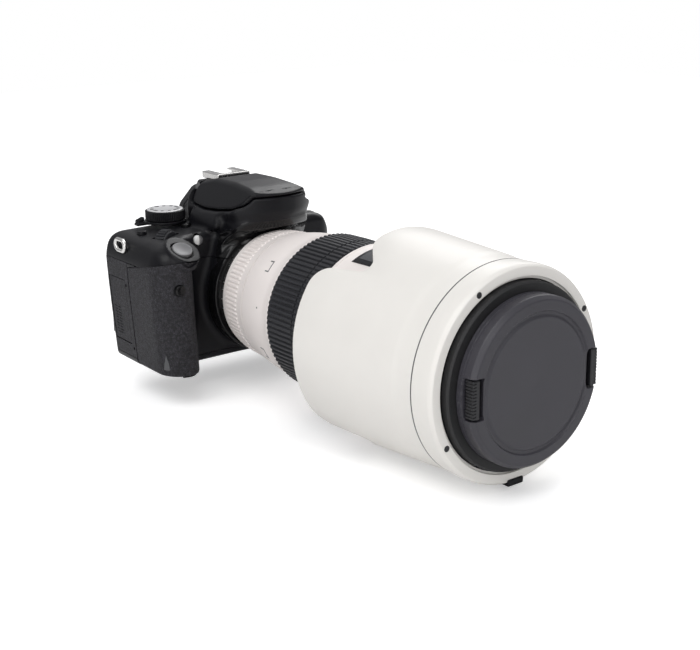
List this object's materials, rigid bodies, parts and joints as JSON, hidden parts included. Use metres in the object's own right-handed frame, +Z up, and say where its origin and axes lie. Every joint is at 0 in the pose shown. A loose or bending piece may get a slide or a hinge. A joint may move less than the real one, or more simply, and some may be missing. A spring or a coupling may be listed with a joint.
{
  "type": "dslr camera",
  "caption": "Compact reflex camera with grip, pop-up flash and swing-out screen, fitted with a long white zoom lens, reversed petal hood and pinch cap.",
  "frame": {"origin": "on the base plate's underside, below the lens axis, in the plane of the film (sensor) plane", "axes": "+Z up, square to the base plate; the lens points along -Y; +X is to the right when the camera is seen from the front, so the grip is at -X"},
  "size_m": [0.1328, 0.2798, 0.1182],
  "materials": {
    "body_black": "satin fine-grained black",
    "grip_rubber": "matt leather-grained rubber",
    "gloss_black": "gloss black",
    "lens_white": "satin warm white enamel",
    "hood_white": "satin warm grey-white",
    "ring_rubber": "ribbed charcoal rubber",
    "cap_grey": "satin dark grey",
    "bright_metal": "bright plated metal",
    "silver_plastic": "silver-grey painted plastic",
    "glass": "coated glass",
    "lamp_clear": "clear lamp window",
    "mirror_glass": "front-silvered mirror",
    "inner_plastic": "matt black moulding",
    "circuit_board": "green circuit board",
    "battery_grey": "dark grey battery case"
  },
  "bodies": {
    "camera": {"front_cover": "body_black", "rear_cover": "body_black", "top_cover": "body_black", "bottom_cover": "body_black", "switch_panel": "body_black", "grip_rubber": "grip_rubber", "thumb_rest": "grip_rubber", "eyecup": "grip_rubber", "remote_window": "gloss_black", "pentamirror": "gloss_black", "rear_barrel": "lens_white", "main_barrel": "lens_white", "body_mount": "bright_metal", "hot_shoe": "bright_metal", "strap_lug_grip_side": "bright_metal", "strap_lug_port_side": "bright_metal", "distance_window": "glass", "front_lens": "glass", "rear_lens": "glass", "eyepiece_lens": "glass", "image_sensor": "glass", "lamp_lens": "lamp_clear", "mirror_box": "inner_plastic", "shutter_unit": "inner_plastic", "main_board": "circuit_board", "battery": "battery_grey"},
    "mirror": {"reflex_mirror": "mirror_glass"},
    "flash": {"flash_head": "body_black"},
    "mode_dial": {"mode_dial": "silver_plastic"},
    "power_lever": {"power_lever": "body_black"},
    "main_dial": {"main_dial": "body_black"},
    "shutter_button": {"shutter_button": "silver_plastic"},
    "iso_button": {"iso_button": "body_black"},
    "display_button": {"display_button": "body_black"},
    "dioptre_dial": {"dioptre_dial": "body_black"},
    "menu_button": {"menu_button": "body_black"},
    "info_button": {"info_button": "body_black"},
    "live_view_button": {"live_view_button": "body_black"},
    "ae_lock_button": {"ae_lock_button": "body_black"},
    "af_point_button": {"af_point_button": "body_black"},
    "quick_button": {"quick_button": "body_black"},
    "playback_button": {"playback_button": "body_black"},
    "erase_button": {"erase_button": "body_black"},
    "set_button": {"set_button": "body_black"},
    "cross_key": {"cross_key": "body_black"},
    "flash_button": {"flash_button": "body_black"},
    "lens_release_button": {"lens_release_button": "body_black"},
    "card_door": {"card_door": "body_black"},
    "battery_door": {"battery_door": "body_black"},
    "port_cover_front": {"port_cover_front": "grip_rubber"},
    "port_cover_rear": {"port_cover_rear": "grip_rubber"},
    "screen": {"lcd_arm": "body_black", "lcd_panel": "body_black"},
    "zoom_ring": {"zoom_ring": "ring_rubber"},
    "focus_ring": {"focus_ring": "ring_rubber"},
    "hood": {"hood": "hood_white"},
    "hood_lock_button": {"hood_lock_button": "gloss_black"},
    "lens_cap": {"lens_cap": "cap_grey"},
    "cap_lever_left": {"cap_lever_left": "cap_grey"},
    "cap_lever_right": {"cap_lever_right": "cap_grey"}
  },
  "joints": [
    {"name": "mirror_flip", "type": "hinge", "parent": "camera", "child": "mirror", "pos_m": [0, -0.009, 0.058], "axis": [-1, 0, 0], "range_deg": [0, 45], "stiffness_Nm_per_rad": 0.004, "springref_deg": -22.92},
    {"name": "flash_popup", "type": "hinge", "parent": "camera", "child": "flash", "pos_m": [0, 0, 0.0935], "axis": [-1, 0, 0], "range_deg": [0, 55]},
    {"name": "mode_dial_turn", "type": "hinge", "parent": "camera", "child": "mode_dial", "pos_m": [-0.0385, 0.0085, 0.0745], "axis": [0, 0, 1], "continuous": true},
    {"name": "power_lever_turn", "type": "hinge", "parent": "camera", "child": "power_lever", "pos_m": [-0.0385, 0.0085, 0.0745], "axis": [0, 0, 1], "range_deg": [0, 50]},
    {"name": "main_dial_turn", "type": "hinge", "parent": "camera", "child": "main_dial", "pos_m": [-0.054, -0.0195, 0.0686], "axis": [-0.4695, 0.8829, 0], "continuous": true},
    {"name": "shutter_button_press", "type": "slide", "parent": "camera", "child": "shutter_button", "axis": [0, 0.4695, -0.8829], "range_m": [0, 0.0015], "stiffness_N_per_m": 600, "springref_m": -0.0003},
    {"name": "iso_button_press", "type": "slide", "parent": "camera", "child": "iso_button", "axis": [0, 0, -1], "range_m": [0, 0.0008], "stiffness_N_per_m": 800, "springref_m": -0.0003},
    {"name": "display_button_press", "type": "slide", "parent": "camera", "child": "display_button", "axis": [0, 0, -1], "range_m": [0, 0.0008], "stiffness_N_per_m": 800, "springref_m": -0.0003},
    {"name": "dioptre_turn", "type": "hinge", "parent": "camera", "child": "dioptre_dial", "pos_m": [-0.023, 0.0164, 0.076], "axis": [0, 1, 0], "range_deg": [-150, 150]},
    {"name": "menu_button_press", "type": "slide", "parent": "camera", "child": "menu_button", "axis": [0, -1, 0], "range_m": [0, 0.0008], "stiffness_N_per_m": 800, "springref_m": -0.0003},
    {"name": "info_button_press", "type": "slide", "parent": "camera", "child": "info_button", "axis": [0, -1, 0], "range_m": [0, 0.0008], "stiffness_N_per_m": 800, "springref_m": -0.0003},
    {"name": "live_view_button_press", "type": "slide", "parent": "camera", "child": "live_view_button", "axis": [0, -1, 0], "range_m": [0, 0.0008], "stiffness_N_per_m": 800, "springref_m": -0.0003},
    {"name": "ae_lock_button_press", "type": "slide", "parent": "camera", "child": "ae_lock_button", "axis": [0, -1, 0], "range_m": [0, 0.0008], "stiffness_N_per_m": 800, "springref_m": -0.0003},
    {"name": "af_point_button_press", "type": "slide", "parent": "camera", "child": "af_point_button", "axis": [0, -1, 0], "range_m": [0, 0.0008], "stiffness_N_per_m": 800, "springref_m": -0.0003},
    {"name": "quick_button_press", "type": "slide", "parent": "camera", "child": "quick_button", "axis": [0, -1, 0], "range_m": [0, 0.0008], "stiffness_N_per_m": 800, "springref_m": -0.0003},
    {"name": "playback_button_press", "type": "slide", "parent": "camera", "child": "playback_button", "axis": [0, -1, 0], "range_m": [0, 0.0008], "stiffness_N_per_m": 800, "springref_m": -0.0003},
    {"name": "erase_button_press", "type": "slide", "parent": "camera", "child": "erase_button", "axis": [0, -1, 0], "range_m": [0, 0.0008], "stiffness_N_per_m": 800, "springref_m": -0.0003},
    {"name": "set_button_press", "type": "slide", "parent": "camera", "child": "set_button", "axis": [0, -1, 0], "range_m": [0, 0.0008], "stiffness_N_per_m": 800, "springref_m": -0.0003},
    {"name": "cross_key_rock", "type": "hinge", "parent": "camera", "child": "cross_key", "pos_m": [-0.0355, 0.017, 0.037], "axis": [1, 0, 0], "range_deg": [-3, 3], "stiffness_Nm_per_rad": 0.05},
    {"name": "flash_button_press", "type": "slide", "parent": "camera", "child": "flash_button", "axis": [0, 1, 0], "range_m": [0, 0.0008], "stiffness_N_per_m": 800, "springref_m": -0.0003},
    {"name": "lens_release_button_press", "type": "slide", "parent": "camera", "child": "lens_release_button", "axis": [0, 1, 0], "range_m": [0, 0.003], "stiffness_N_per_m": 700, "springref_m": -0.0003},
    {"name": "card_door_hinge", "type": "hinge", "parent": "camera", "child": "card_door", "pos_m": [-0.0754, 0.0115, 0.03], "axis": [0, 0, -1], "range_deg": [0, 85]},
    {"name": "battery_door_hinge", "type": "hinge", "parent": "camera", "child": "battery_door", "pos_m": [-0.0549, -0.0295, 0.0002], "axis": [0, -1, 0], "range_deg": [0, 95]},
    {"name": "port_cover_front_hinge", "type": "hinge", "parent": "camera", "child": "port_cover_front", "pos_m": [0.057, -0.0075, 0.033], "axis": [0, 0, -1], "range_deg": [0, 100]},
    {"name": "port_cover_rear_hinge", "type": "hinge", "parent": "camera", "child": "port_cover_rear", "pos_m": [0.057, 0.0084, 0.033], "axis": [0, 0, 1], "range_deg": [0, 100]},
    {"name": "screen_swing", "type": "hinge", "parent": "camera", "child": "screen", "pos_m": [0.055, 0.017, 0.03275], "axis": [0, 0, -1], "range_deg": [0, 175]},
    {"name": "zoom_turn", "type": "hinge", "parent": "camera", "child": "zoom_ring", "pos_m": [0, -0.0991, 0.038], "axis": [0, -1, 0], "range_deg": [0, 65]},
    {"name": "focus_turn", "type": "hinge", "parent": "camera", "child": "focus_ring", "pos_m": [0, -0.167, 0.038], "axis": [0, -1, 0], "continuous": true},
    {"name": "hood_turn", "type": "hinge", "parent": "camera", "child": "hood", "pos_m": [0, -0.2402, 0.038], "axis": [0, -1, 0], "range_deg": [0, 60]},
    {"name": "hood_lock_button_press", "type": "slide", "parent": "hood", "child": "hood_lock_button", "axis": [0, 0, 1], "range_m": [0, 0.0015], "stiffness_N_per_m": 700, "springref_m": -0.0003},
    {"name": "cap_pull", "type": "slide", "parent": "camera", "child": "lens_cap", "axis": [0, -1, 0], "range_m": [0, 0.03]},
    {"name": "cap_lever_left_press", "type": "slide", "parent": "lens_cap", "child": "cap_lever_left", "axis": [1, 0, 0], "range_m": [0, 0.0022], "stiffness_N_per_m": 500, "springref_m": -0.0003},
    {"name": "cap_lever_right_press", "type": "slide", "parent": "lens_cap", "child": "cap_lever_right", "axis": [-1, 0, 0], "range_m": [0, 0.0022], "stiffness_N_per_m": 500, "springref_m": -0.0003}
  ]
}
